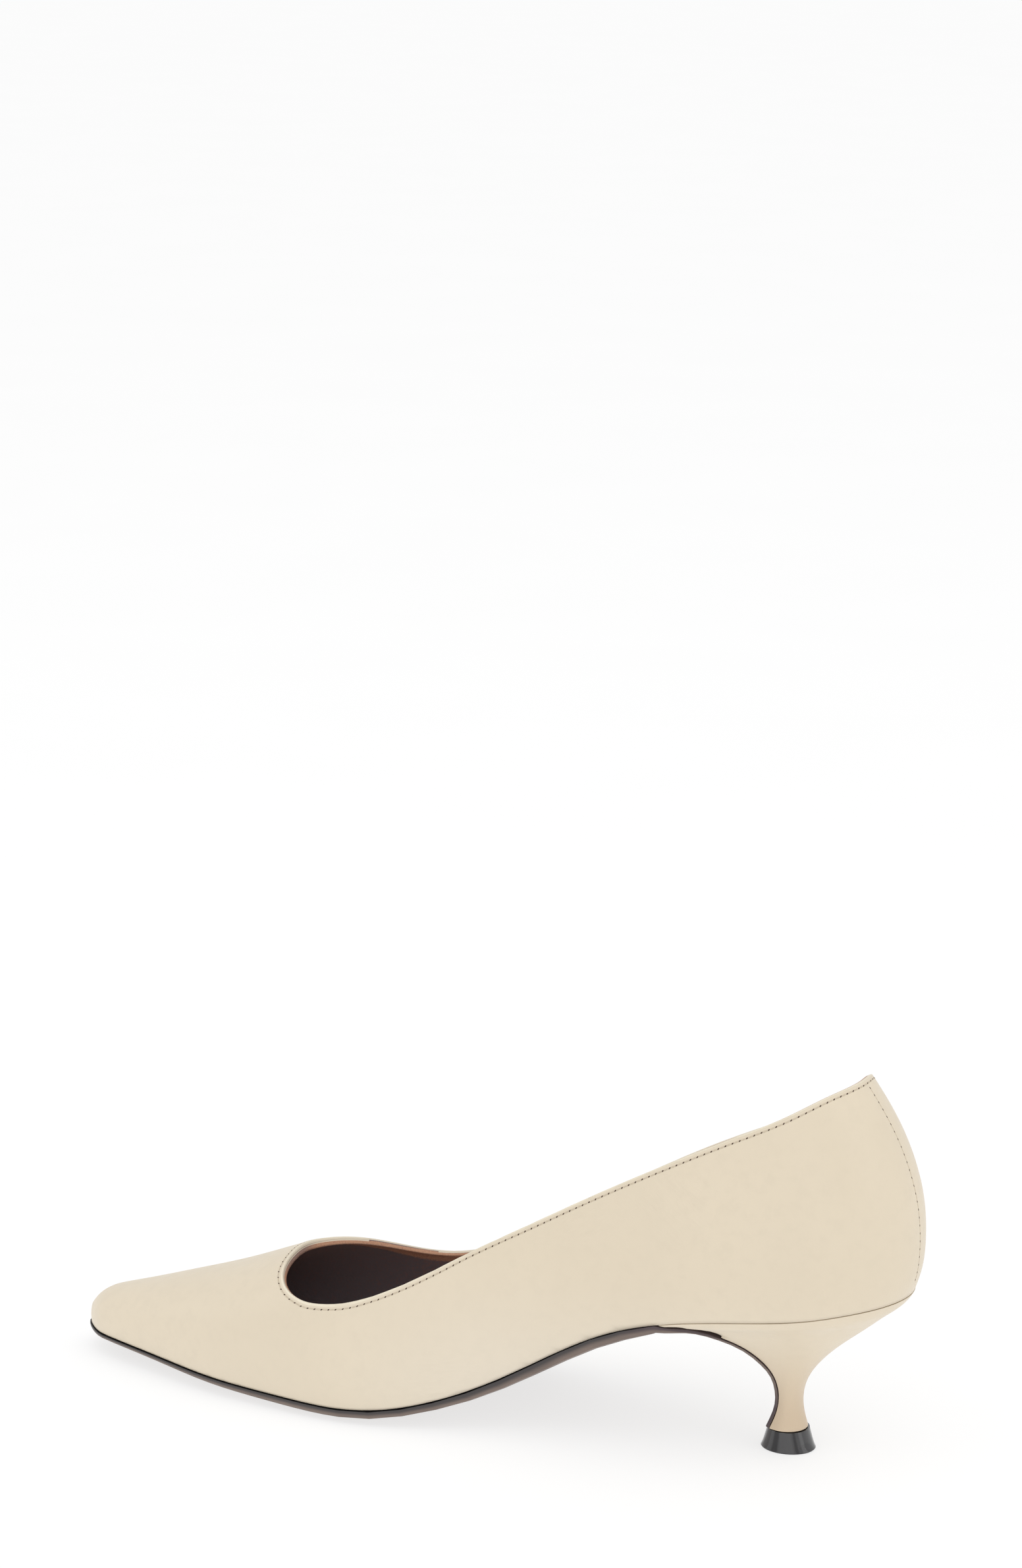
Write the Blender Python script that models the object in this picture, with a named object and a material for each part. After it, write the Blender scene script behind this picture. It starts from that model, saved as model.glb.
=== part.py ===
"""Kitten heel pump for the right foot, built in metres with +Z up.

The toe points to -X and the inner side of the foot faces -Y. The origin is on the
floor, under the middle of the shoe's box.
"""

import math
from collections import namedtuple

import bmesh
import bpy
import numpy as np

# Driving sizes
SHOE_LENGTH = 0.262  # back of the heel curve to the toe tip
BALL_WIDTH = 0.075  # upper across the ball
HEEL_LIFT = 0.0493  # seat above the ball
TOE_SPRING = 0.0038  # toe tip above the ball
BALL_CROWN = 0.0016  # feather edge above the middle of the tread
BACK_HEIGHT = 0.062  # seat to topline along the back seam
VAMP_HEIGHT = 0.0335  # feather edge to ridge at the throat
BACK_RADIUS = 0.027  # roundness of the heel curve in plan
TOE_RADIUS = 0.009  # roundness of the toe tip in plan
THROAT_AT = 0.7245  # front of the opening, share of the length
THROAT_FROM = 0.630  # where the throat begins to round in
THROAT_SIDES = 4  # power that straightens the throat's sides
THROAT_FRONT = 3  # power that flattens its front
THROAT_FAN = 0.150  # length of feather edge whose columns end on the rounded throat
RIDGE_SKEW = 0.0060  # ridge at the throat, towards the inner side
UPPER_WALL = 0.0018
INSOLE_THICKNESS = 0.0022
SOLE_THICKNESS = 0.0024  # under the ball
SOLE_MARGIN = 0.0004  # sole beyond the feather edge
EDGE_HEIGHT = 0.0013  # upright part of the sole's edge
EDGE_SHARE = 0.55  # most of the thickness that the upright part takes
EDGE_ROLL = 0.0018  # width over which the edge rolls under
ROLL_SHARE = 0.75  # widest roll, share of the thickness
ROLL_BREADTH = 0.30  # widest roll, share of the sole's breadth
FLAP_INSET = 0.0018  # how far the flap lies inside the heel's edge, half way down
SEAT_LENGTH = 0.070  # back of the heel to its front tip
TOP_PIECE_HEIGHT = 0.0063
TOP_PIECE_LENGTH = 0.0165  # along its foot
TOP_PIECE_WIDTH = 0.0134  # across its foot
TOP_PIECE_FLARE = 0.0042  # how much longer its foot is than its top
TOP_PIECE_SIDE_FLARE = 0.25  # share of the flare that its width has
TOP_PIECE_FRONT = 0.94  # where its front is flattened, share of half its length
TOP_PIECE_AT = 0.543  # middle of the top piece, share of SEAT_LENGTH from the back
GAP = 0.0003  # between pieces that meet

TREAD = SOLE_THICKNESS + GAP  # height of the upper's bottom over the ball

# One row for each section, from the back to the toe. Shares of: SHOE_LENGTH (at), HEEL_LIFT
# (rise, twist), TOE_SPRING (spring), BALL_CROWN (crown), BALL_WIDTH (inner, outer, swell_in,
# swell_out), VAMP_HEIGHT (swell_up, ridge) and RIDGE_SKEW (skew). Behind the throat the ridge
# is above the opening.
Section = namedtuple(
    "Section", "at rise twist spring crown inner outer swell_in swell_out swell_up ridge skew"
)
SECTIONS = [
    Section(0.000, 1.000, 0.000, 0.00, 0.00, 0.313, 0.313, 0.015, 0.015, 0.45, 2.75, 0.00),
    Section(0.057, 0.966, 0.000, 0.00, 0.00, 0.330, 0.333, 0.020, 0.020, 0.47, 2.75, 0.00),
    Section(0.115, 0.908, 0.000, 0.00, 0.00, 0.337, 0.347, 0.024, 0.024, 0.50, 2.75, 0.00),
    Section(0.172, 0.862, 0.000, 0.00, 0.02, 0.333, 0.360, 0.030, 0.027, 0.52, 2.75, 0.00),
    Section(0.229, 0.808, 0.004, 0.00, 0.05, 0.317, 0.373, 0.040, 0.030, 0.54, 2.75, 0.00),
    Section(0.286, 0.728, 0.018, 0.00, 0.10, 0.299, 0.384, 0.055, 0.032, 0.56, 2.72, 0.05),
    Section(0.344, 0.600, 0.035, 0.00, 0.15, 0.284, 0.393, 0.066, 0.034, 0.56, 2.60, 0.15),
    Section(0.397, 0.432, 0.045, 0.00, 0.25, 0.280, 0.408, 0.066, 0.036, 0.52, 2.40, 0.30),
    Section(0.450, 0.262, 0.042, 0.00, 0.40, 0.304, 0.435, 0.052, 0.036, 0.44, 2.15, 0.50),
    Section(0.496, 0.148, 0.025, 0.00, 0.60, 0.345, 0.461, 0.038, 0.034, 0.36, 1.93, 0.68),
    Section(0.534, 0.078, 0.012, 0.00, 0.80, 0.381, 0.480, 0.031, 0.032, 0.31, 1.77, 0.82),
    Section(0.584, 0.018, 0.002, 0.00, 0.95, 0.424, 0.491, 0.027, 0.030, 0.27, 1.58, 0.95),
    Section(0.630, 0.000, 0.000, 0.00, 1.00, 0.439, 0.483, 0.027, 0.030, 0.26, 1.40, 1.00),
    Section(0.679, 0.000, 0.000, 0.04, 1.00, 0.428, 0.453, 0.027, 0.028, 0.26, 1.245, 1.00),
    Section(0.725, 0.000, 0.000, 0.12, 1.00, 0.404, 0.413, 0.025, 0.025, 0.25, 1.112, 1.00),
    Section(0.800, 0.000, 0.000, 0.33, 0.90, 0.355, 0.333, 0.022, 0.022, 0.22, 0.855, 0.85),
    Section(0.878, 0.000, 0.000, 0.60, 0.80, 0.261, 0.240, 0.018, 0.018, 0.18, 0.62, 0.60),
    Section(0.943, 0.000, 0.000, 0.82, 0.65, 0.177, 0.160, 0.014, 0.014, 0.13, 0.435, 0.30),
    Section(0.977, 0.000, 0.000, 0.92, 0.55, 0.124, 0.115, 0.010, 0.010, 0.09, 0.330, 0.10),
    Section(0.990, 0.000, 0.000, 0.97, 0.52, 0.098, 0.092, 0.008, 0.008, 0.07, 0.245, 0.04),
    Section(1.000, 0.000, 0.000, 1.00, 0.50, 0.075, 0.072, 0.006, 0.006, 0.06, 0.140, 0.00),
]

# Topline over the feather edge, share of BACK_HEIGHT, on the inner and the outer side.
Topline = namedtuple("Topline", "at inner outer")
TOPLINE = [
    Topline(0.000, 1.000, 1.000),
    Topline(0.030, 0.978, 0.922),
    Topline(0.057, 0.952, 0.868),
    Topline(0.115, 0.905, 0.788),
    Topline(0.190, 0.838, 0.698),
    Topline(0.267, 0.760, 0.625),
    Topline(0.344, 0.704, 0.580),
    Topline(0.420, 0.700, 0.580),
    Topline(0.470, 0.695, 0.545),
    Topline(0.506, 0.668, 0.498),
    Topline(0.542, 0.623, 0.456),
    Topline(0.576, 0.581, 0.430),
    Topline(0.607, 0.537, 0.434),
    Topline(0.641, 0.495, 0.459),
    Topline(0.670, 0.468, 0.505),
    Topline(0.700, 0.438, 0.535),
    Topline(0.740, 0.385, 0.530),
]

# How far the back seam leans forward at a height over the seat, both shares of BACK_HEIGHT.
Lean = namedtuple("Lean", "up forward")
BACK_SEAM = [
    Lean(0.00, 0.032),
    Lean(0.10, 0.000),
    Lean(0.20, -0.009),
    Lean(0.32, -0.008),
    Lean(0.46, 0.010),
    Lean(0.60, 0.050),
    Lean(0.72, 0.099),
    Lean(0.85, 0.170),
    Lean(1.00, 0.270),
]
LEAN_REACH = 0.090  # how far forward the lean dies out

# Thickness of the sole, share of SOLE_THICKNESS, from the flap down the heel to the toe tip.
Depth = namedtuple("Depth", "at depth")
SOLE_DEPTHS = [
    Depth(0.150, 0.46),
    Depth(0.235, 0.48),
    Depth(0.255, 0.70),
    Depth(0.275, 1.05),
    Depth(0.310, 1.32),
    Depth(0.370, 1.40),
    Depth(0.440, 1.30),
    Depth(0.520, 1.12),
    Depth(0.590, 1.06),
    Depth(0.640, 1.09),
    Depth(0.690, 1.07),
    Depth(0.740, 0.98),
    Depth(0.800, 0.82),
    Depth(0.860, 0.67),
    Depth(0.940, 0.54),
    Depth(1.000, 0.50),
]

# Heel from the seat down to the top piece. Along: shares of SEAT_LENGTH from the back. Up:
# shares of the height between top piece and seat. Half-breadths: shares of BALL_WIDTH.
Level = namedtuple(
    "Level", "breast_at breast_up back_at back_up breast_in breast_out body round_from"
)
HEEL_LEVELS = [
    Level(0.950, 0.722, 0.060, 0.925, 0.285, 0.350, 0.312, 0.55),
    Level(0.880, 0.716, 0.125, 0.845, 0.262, 0.310, 0.272, 0.52),
    Level(0.785, 0.667, 0.205, 0.740, 0.216, 0.240, 0.222, 0.50),
    Level(0.688, 0.572, 0.312, 0.607, 0.152, 0.160, 0.165, 0.47),
    Level(0.616, 0.452, 0.403, 0.470, 0.102, 0.104, 0.113, 0.43),
    Level(0.579, 0.343, 0.460, 0.345, 0.074, 0.074, 0.084, 0.40),
    Level(0.566, 0.228, 0.484, 0.228, 0.062, 0.062, 0.072, 0.38),
    Level(0.575, 0.113, 0.483, 0.113, 0.061, 0.061, 0.072, 0.38),
    Level(0.603, 0.000, 0.462, 0.000, 0.068, 0.068, 0.082, 0.38),
]

# Sole's edge below its upright part: shares of the roll's width and of the height left.
Roll = namedtuple("Roll", "inward down")
EDGE_PROFILE = [Roll(0.0, 0.0), Roll(0.3, 0.7)]

# Top piece from the floor up: share of its height, and of the flare that is gone.
Taper = namedtuple("Taper", "up gone")
TOP_PIECE_TAPER = [
    Taper(0.00, 0.16),
    Taper(0.06, 0.05),
    Taper(0.25, 0.33),
    Taper(0.50, 0.57),
    Taper(0.75, 0.79),
    Taper(1.00, 1.00),
]

# Mesh fineness
BACK_STEPS = 8
QUARTER_STEPS = 15
THROAT_STEPS = 8
VAMP_STEPS = 9
TOE_STEPS = 7
LOW_RINGS = 3  # below the widest line of the wall
HIGH_RINGS = 9  # above it
ACROSS = 8  # strips across sole and insole
HEEL_RINGS = 20
HEEL_SIDE = 15
FLAP_STEP = 0.0125  # share of the breast over which its slope is taken
TOP_PIECE_SIDES = 40

COLOURS = {
    "upper": ((0.75, 0.66, 0.50), 0.42),
    "insole": ((0.08, 0.045, 0.035), 0.90),
    "outsole": ((0.035, 0.035, 0.045), 0.45),
    "heel": ((0.68, 0.56, 0.38), 0.42),
    "top_piece": ((0.06, 0.06, 0.065), 0.25),
}


def natural_spline(xs, ys):
    """Smooth curve through the points: returns a function of x."""
    xs, ys = np.array(xs, float), np.array(ys, float)
    count, steps = len(xs), np.diff(xs)
    matrix, right = np.eye(count), np.zeros(count)
    for i in range(1, count - 1):
        matrix[i, i - 1], matrix[i, i + 1] = steps[i - 1], steps[i]
        matrix[i, i] = 2 * (steps[i - 1] + steps[i])
        right[i] = 6 * ((ys[i + 1] - ys[i]) / steps[i] - (ys[i] - ys[i - 1]) / steps[i - 1])
    bend = np.linalg.solve(matrix, right)

    def value(x):
        x = min(max(x, xs[0]), xs[-1])
        i = min(int(np.searchsorted(xs, x, side="right")) - 1, count - 2)
        step, after, before = steps[i], x - xs[i], xs[i + 1] - x
        curved = (bend[i] * before**3 + bend[i + 1] * after**3) / (6 * step)
        left = (ys[i] / step - bend[i] * step / 6) * before
        return float(curved + left + (ys[i + 1] / step - bend[i + 1] * step / 6) * after)

    return value


def columns(rows):
    """One smooth curve for each column of a table, along its first column."""
    first = [row[0] for row in rows]
    fields = rows[0]._fields[1:]
    return {name: natural_spline(first, [getattr(row, name) for row in rows]) for name in fields}


SECTION = columns(SECTIONS)
TOP = columns(TOPLINE)
SEAM = columns(BACK_SEAM)
SOLE = columns(SOLE_DEPTHS)


def end_rounding(at, inset):
    """Share of the half-breadth that the round heel and toe leave, at a share of the length."""
    length = SHOE_LENGTH - 2 * inset
    back = (at * length, BACK_RADIUS - inset)
    toe = ((1 - at) * length, TOE_RADIUS - inset)
    share = 1.0
    for distance, radius in (back, toe):
        if distance < radius:
            share *= math.sqrt(max(0.0, 1 - (1 - distance / radius) ** 2))
    return share


def feather_height(at, side):
    """Height of the upper's bottom edge; side is -1 for the inner and 1 for the outer side."""
    rise = SECTION["rise"](at) * HEEL_LIFT + SECTION["spring"](at) * TOE_SPRING
    twist = SECTION["twist"](at) * HEEL_LIFT / 2
    return TREAD + rise + SECTION["crown"](at) * BALL_CROWN - side * twist


def feather_breadth(at, side, inset):
    name = "inner" if side < 0 else "outer"
    return (SECTION[name](at) * BALL_WIDTH - inset) * end_rounding(at, inset)


def along(at, up, inset):
    """Distance from the back, with the lean of the back seam at a height over the feather edge."""
    distance = inset + at * (SHOE_LENGTH - 2 * inset)
    fade = max(0.0, 1 - distance / LEAN_REACH)
    fade = fade * fade * (3 - 2 * fade)
    return distance + SEAM["forward"](up / BACK_HEIGHT) * BACK_HEIGHT * fade


def wall_shape(at, side, inset):
    """Half-breadth at the widest line, its height and the ridge's, over the feather edge."""
    name = "swell_in" if side < 0 else "swell_out"
    swell = SECTION[name](at) * BALL_WIDTH * end_rounding(at, inset)
    widest_up = SECTION["swell_up"](at) * VAMP_HEIGHT
    ridge_up = max(SECTION["ridge"](at) * VAMP_HEIGHT - inset, widest_up + GAP)
    return feather_breadth(at, side, inset) + swell, widest_up, ridge_up


def topline_across(at, side, inset):
    """Half-breadth of the opening at its topline, as a share of the widest line."""
    _, widest_up, ridge_up = wall_shape(at, side, inset)
    topline_up = TOP["inner" if side < 0 else "outer"](at) * BACK_HEIGHT
    sine = min((topline_up - widest_up) / (ridge_up - widest_up), 1.0)
    return math.sqrt(1 - sine * sine)


def wall_point(at, side, inset, angle):
    """Point of the wall at an angle over the widest line, negative below that line."""
    breadth = feather_breadth(at, side, inset)
    widest, widest_up, ridge_up = wall_shape(at, side, inset)
    if angle < 0:
        share = 1 + angle * 2 / math.pi
        half = breadth + (widest - breadth) * math.sin(share * math.pi / 2)
        up, skew = widest_up * share, 0.0
    else:
        half = widest * math.cos(angle)
        up = widest_up + (ridge_up - widest_up) * math.sin(angle)
        skew = SECTION["skew"](at) * RIDGE_SKEW * math.sin(angle) ** 2
    return (-along(at, up, inset), side * half - skew, feather_height(at, side) + up)


def wall_column(column, side, inset):
    """Points of the wall from the feather edge up to the topline, or to the ridge ahead of it."""
    top = math.acos(topline_across(column.top, side, inset) * column.opening)
    rings = LOW_RINGS + HIGH_RINGS
    points = []
    for i in range(rings + 1):
        if i < LOW_RINGS:
            angle = (i / LOW_RINGS - 1) * math.pi / 2
        else:
            angle = top * (i - LOW_RINGS) / HIGH_RINGS
        at = column.low + (column.top - column.low) * i / rings
        points.append(wall_point(at, side, inset, angle))
    return points


# A column of the wall: where it starts on the feather edge, where it ends, and how far open the
# throat is there, from 1 at the topline's sides to 0 on the ridge.
Column = namedtuple("Column", "low top opening")


def wall_columns():
    """Columns from heel to toe, closer together round the heel and toe, fanned at the throat."""
    quarter = math.pi / 2
    heel, toe = BACK_RADIUS / SHOE_LENGTH, 1 - TOE_RADIUS / SHOE_LENGTH
    found = []
    for i in range(BACK_STEPS):
        at = heel * (1 - math.cos(quarter * i / BACK_STEPS))
        found.append(Column(at, at, 1.0))
    for i in range(QUARTER_STEPS):
        at = heel + (THROAT_FROM - heel) * i / QUARTER_STEPS
        found.append(Column(at, at, 1.0))
    for i in range(THROAT_STEPS):
        opening = math.cos(quarter * i / THROAT_STEPS)
        closing = (1 - opening**THROAT_SIDES) ** (1 / THROAT_FRONT)
        low = THROAT_FROM + THROAT_FAN * i / THROAT_STEPS
        found.append(Column(low, THROAT_FROM + (THROAT_AT - THROAT_FROM) * closing, opening))
    start = THROAT_FROM + THROAT_FAN
    for i in range(VAMP_STEPS):
        share = i / VAMP_STEPS
        low, top = start + (toe - start) * share, THROAT_AT + (toe - THROAT_AT) * share
        found.append(Column(low, top, 0.0))
    for i in range(TOE_STEPS + 1):
        at = toe + (1 - toe) * math.sin(quarter * i / TOE_STEPS)
        found.append(Column(at, at, 0.0))
    return found


def stations():
    """Shares of the length at the feather edge, one for each column of the wall."""
    return [column.low for column in wall_columns()]


def add_solid(name, points, faces):
    """A named object with its own material, closed and facing out."""
    mesh = bpy.data.meshes.new(name)
    mesh.from_pydata([tuple(point) for point in points], [], faces)
    solid = bpy.data.objects.new(name, mesh)
    bpy.context.scene.collection.objects.link(solid)
    merge_and_face_out(mesh)
    mesh.shade_smooth()
    mesh.set_sharp_from_angle(angle=math.radians(40))
    colour, roughness = COLOURS[name]
    material = bpy.data.materials.new(name)
    material.use_nodes = True
    shader = material.node_tree.nodes["Principled BSDF"]
    shader.inputs["Base Color"].default_value = (*colour, 1)
    shader.inputs["Roughness"].default_value = roughness
    shader.inputs["Metallic"].default_value = 0.0
    mesh.materials.append(material)
    return solid


def merge_and_face_out(mesh):
    work = bmesh.new()
    work.from_mesh(mesh)
    bmesh.ops.remove_doubles(work, verts=work.verts, dist=2e-6)
    bmesh.ops.dissolve_degenerate(work, edges=work.edges, dist=1e-6)
    bmesh.ops.recalc_face_normals(work, faces=work.faces)
    if work.calc_volume(signed=True) < 0:
        bmesh.ops.reverse_faces(work, faces=work.faces)
    work.to_mesh(mesh)
    work.free()


def loft(rings, closed_ring):
    """Vertices and quads between rings of equal length."""
    count = len(rings[0])
    points = [point for ring in rings for point in ring]
    faces = []
    for i in range(len(rings) - 1):
        for j in range(count if closed_ring else count - 1):
            a, b = i * count + j, i * count + (j + 1) % count
            faces.append((a, b, b + count, a + count))
    return points, faces


def build_upper():
    """One wall from heel to toe on both sides, open at the topline and underneath."""
    path = [(column, -1) for column in wall_columns()]
    path += [(column, 1) for column in reversed(wall_columns()[:-1])]
    rings = []
    for column, side in path:
        outside = wall_column(column, side, 0.0)
        inside = wall_column(column, side, UPPER_WALL)
        rings.append(outside + inside[::-1])
    points, faces = loft(rings, True)
    per_column = len(rings[0])
    rim = {per_column // 2 - 1, per_column // 2}
    kept = []
    for face in faces:
        here = min(face) // per_column
        ahead = path[here][0].opening == 0 and path[here + 1][0].opening == 0
        if not (ahead and {corner % per_column for corner in face} == rim):
            kept.append(face)
    return add_solid("upper", points, kept)


def strip_across(at, inset, lower):
    """Points across the shoe's bottom, from the inner to the outer feather edge."""
    inner, outer = -feather_breadth(at, -1, inset), feather_breadth(at, 1, inset)
    crown = SECTION["crown"](at) * BALL_CROWN * end_rounding(at, inset)
    found = []
    for i in range(ACROSS + 1):
        share = i / ACROSS
        edge = feather_height(at, -1) * (1 - share) + feather_height(at, 1) * share
        dip = crown * (1 - (2 * share - 1) ** 2)
        found.append((-along(at, 0.0, inset), inner + (outer - inner) * share, edge - dip - lower))
    return found


def clear_share(at, side, inset, up):
    """Share of the feather breadth that is clear of the wall at a height over the feather edge."""
    breadth = feather_breadth(at, side, inset)
    widest, widest_up, ridge_up = wall_shape(at, side, inset)
    if up <= widest_up or breadth <= 0:
        return 1.0
    sine = min((up - widest_up) / (ridge_up - widest_up), 1.0)
    return min(1.0, widest * math.sqrt(1 - sine * sine) / breadth)


def build_insole():
    """A thin plate inside the wall."""
    inset = UPPER_WALL + GAP
    rings = []
    for at in stations():
        room = min(wall_shape(at, side, inset)[2] for side in (-1, 1))
        thickness = min(INSOLE_THICKNESS, room / 2)
        under = strip_across(at, inset, 0.0)
        over = strip_across(at, inset, -thickness)
        narrow = min(clear_share(at, side, inset, thickness) for side in (-1, 1))
        over = [(x, y * narrow, z) for x, y, z in over]
        rings.append(under + over[::-1])
    points, faces = loft(rings, True)
    return add_solid("insole", points, faces)


def heel_level(row, share):
    """Centre-line point of a heel level between its breast (0) and its back (1)."""
    low, high = TOP_PIECE_HEIGHT + GAP, TREAD + HEEL_LIFT
    front = np.array([row.breast_at * SEAT_LENGTH, low + row.breast_up * (high - low)])
    back = np.array([row.back_at * SEAT_LENGTH, low + row.back_up * (high - low)])
    return front * (1 - share) + back * share


def level_breadth(row, side, share):
    breast = (row.breast_in if side < 0 else row.breast_out) * BALL_WIDTH
    body = row.body * BALL_WIDTH
    if share < row.round_from:
        return breast + (body - breast) * math.sin(share / row.round_from * math.pi / 2)
    rest = (share - row.round_from) / (1 - row.round_from)
    return body * math.sqrt(max(0.0, 1 - rest * rest))


def seat_ring(lower):
    """The heel's top rim, along the feather edge from the inner tip round to the outer tip."""
    half = []
    for i in range(HEEL_SIDE + 1):
        share = math.sin(i / HEEL_SIDE * math.pi / 2)
        half.append((1 - share) * SEAT_LENGTH / SHOE_LENGTH)
    ring = []
    for side in (-1, 1):
        for at in half if side < 0 else half[-2::-1]:
            point = (-along(at, 0.0, 0.0), side * feather_breadth(at, side, 0.0))
            ring.append((*point, feather_height(at, side) - lower))
    return ring


def control_ring(row):
    ring = []
    shares = [math.sin(i / HEEL_SIDE * math.pi / 2) for i in range(HEEL_SIDE + 1)]
    for side in (-1, 1):
        for share in shares if side < 0 else shares[-2::-1]:
            distance, height = heel_level(row, share)
            ring.append((-distance, side * level_breadth(row, side, share), height))
    return ring


def build_heel():
    """Seat cup, curved breast and stem, as one block."""
    rings = [seat_ring(GAP)] + [control_ring(row) for row in HEEL_LEVELS]
    control = np.array(rings)
    steps = range(len(rings))
    smooth = []
    for j in range(control.shape[1]):
        smooth.append([natural_spline(steps, control[:, j, axis]) for axis in range(3)])
    lofted = []
    for i in range(HEEL_RINGS + 1):
        level = (len(rings) - 1) * i / HEEL_RINGS
        lofted.append([tuple(axis(level) for axis in point) for point in smooth])
    points, faces = loft(lofted, True)
    count = len(lofted[0])
    last = len(points) - count
    for start in (0, last):
        for j in range(HEEL_SIDE):
            a, b = start + j, start + j + 1
            c, d = start + count - 2 - j, start + count - 1 - j
            faces.append((a, b, d) if b == c else (a, b, c, d))
    return add_solid("heel", points, faces)


def breast_curve():
    """The heel's breast from its tip to its foot: distance, height and the two half-breadths."""
    tip = SEAT_LENGTH / SHOE_LENGTH
    rows = [(SEAT_LENGTH, feather_height(tip, 0) - GAP)]
    rows += [tuple(heel_level(row, 0.0)) for row in HEEL_LEVELS]
    inner = [feather_breadth(tip, -1, 0.0)] + [row.breast_in * BALL_WIDTH for row in HEEL_LEVELS]
    outer = [feather_breadth(tip, 1, 0.0)] + [row.breast_out * BALL_WIDTH for row in HEEL_LEVELS]
    shares = np.linspace(0, 1, len(rows))
    return [natural_spline(shares, values) for values in (*zip(*rows), inner, outer)]


def flap_strips():
    """Strips of the sole's upper face down the breast, a gap away from the heel."""
    distance, height, inner, outer = breast_curve()
    strips = []
    for i in range(1, HEEL_RINGS + 1):
        share = i / HEEL_RINGS
        above, below = share - FLAP_STEP, min(share + FLAP_STEP, 1.0)
        run = distance(below) - distance(above)
        fall = height(below) - height(above)
        size = math.hypot(run, fall)
        x = -(distance(share) - fall / size * GAP)
        z = height(share) + run / size * GAP
        inset = FLAP_INSET * math.sin(math.pi * share)
        low, high = -inner(share) + inset, outer(share) - inset
        strips.append([(x, low + (high - low) * j / ACROSS, z) for j in range(ACROSS + 1)])
    return strips


def sole_section(strip, down, thickness):
    """Closed ring: the upper face from the inner to the outer edge, then back underneath."""
    inner, outer = strip[0], strip[-1]
    breadth = outer[1] - inner[1]
    roll = min(EDGE_ROLL, thickness * ROLL_SHARE, breadth * ROLL_BREADTH)
    edge = min(EDGE_HEIGHT, thickness * EDGE_SHARE)
    profile = [(roll * row.inward, edge + (thickness - edge) * row.down) for row in EDGE_PROFILE]

    def lowered(point, inward, depth):
        x, y, z = point
        return (x + down[0] * depth, y + inward, max(z + down[1] * depth, 0.0))

    under = [lowered(outer, -inward, depth) for inward, depth in profile]
    for x, y, z in reversed(strip):
        y = min(max(y, inner[1] + roll), outer[1] - roll)
        under.append(lowered((x, y, z), 0.0, thickness))
    under += [lowered(inner, inward, depth) for inward, depth in reversed(profile)]
    return list(strip) + under


def build_outsole():
    """Thin sole from the toe to the heel's tip, which runs on down the breast as a flap."""
    meets_heel = (SEAT_LENGTH + SOLE_THICKNESS / 2) / SHOE_LENGTH
    strips = [strip_across(at, -SOLE_MARGIN, GAP) for at in reversed(stations()) if at > meets_heel]
    strips.append(strip_across(meets_heel, -SOLE_MARGIN, GAP))
    strips += flap_strips()
    middles = [(np.array(strip[0]) + strip[-1]) / 2 for strip in strips]
    foot = len(strips) - 1
    rings = []
    for i, strip in enumerate(strips):
        before, after = middles[max(i - 1, 0)], middles[min(i + 1, foot)]
        run, fall = after[0] - before[0], after[2] - before[2]
        size = math.hypot(run, fall)
        thickness = SOLE["depth"](-middles[i][0] / SHOE_LENGTH) * SOLE_THICKNESS
        rings.append(sole_section(strip, (fall / size, -run / size), thickness))
    points, faces = loft(rings, True)
    faces.append(tuple(range(len(points) - len(rings[0]), len(points))))
    return add_solid("outsole", points, faces)


def oval(length, width, height):
    """Ring of the top piece, an oval with its front a little flattened."""
    ring = []
    for i in range(TOP_PIECE_SIDES):
        angle = 2 * math.pi * i / TOP_PIECE_SIDES
        forward = min(math.cos(angle), TOP_PIECE_FRONT) * length / 2
        ring.append((-(TOP_PIECE_AT * SEAT_LENGTH + forward), math.sin(angle) * width / 2, height))
    return ring


def build_top_piece():
    """Hard foot under the heel, flaring down to a flat face on the floor."""
    rings = []
    for row in TOP_PIECE_TAPER:
        length = TOP_PIECE_LENGTH - TOP_PIECE_FLARE * row.gone
        width = TOP_PIECE_WIDTH - TOP_PIECE_FLARE * TOP_PIECE_SIDE_FLARE * row.gone
        rings.append(oval(length, width, TOP_PIECE_HEIGHT * row.up))
    points, faces = loft(rings, True)
    faces.append(tuple(range(TOP_PIECE_SIDES)))
    faces.append(tuple(range(len(points) - TOP_PIECE_SIDES, len(points))))
    return add_solid("top_piece", points, faces)


def centre_on_floor(solids):
    """Moves the meshes so that the origin lies under the middle of their box."""
    corners = np.array([vertex.co for solid in solids for vertex in solid.data.vertices])
    middle = (corners.min(axis=0) + corners.max(axis=0)) / 2
    for solid in solids:
        for vertex in solid.data.vertices:
            vertex.co.x -= middle[0]
            vertex.co.y -= middle[1]


def main():
    for old in list(bpy.data.objects):
        bpy.data.objects.remove(old)
    solids = [build_upper(), build_insole(), build_outsole(), build_heel(), build_top_piece()]
    centre_on_floor(solids)


main()
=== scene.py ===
import math
import bmesh
import bpy
from mathutils import Matrix, Vector
from mathutils.bvhtree import BVHTree
from mathutils.kdtree import KDTree


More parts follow.
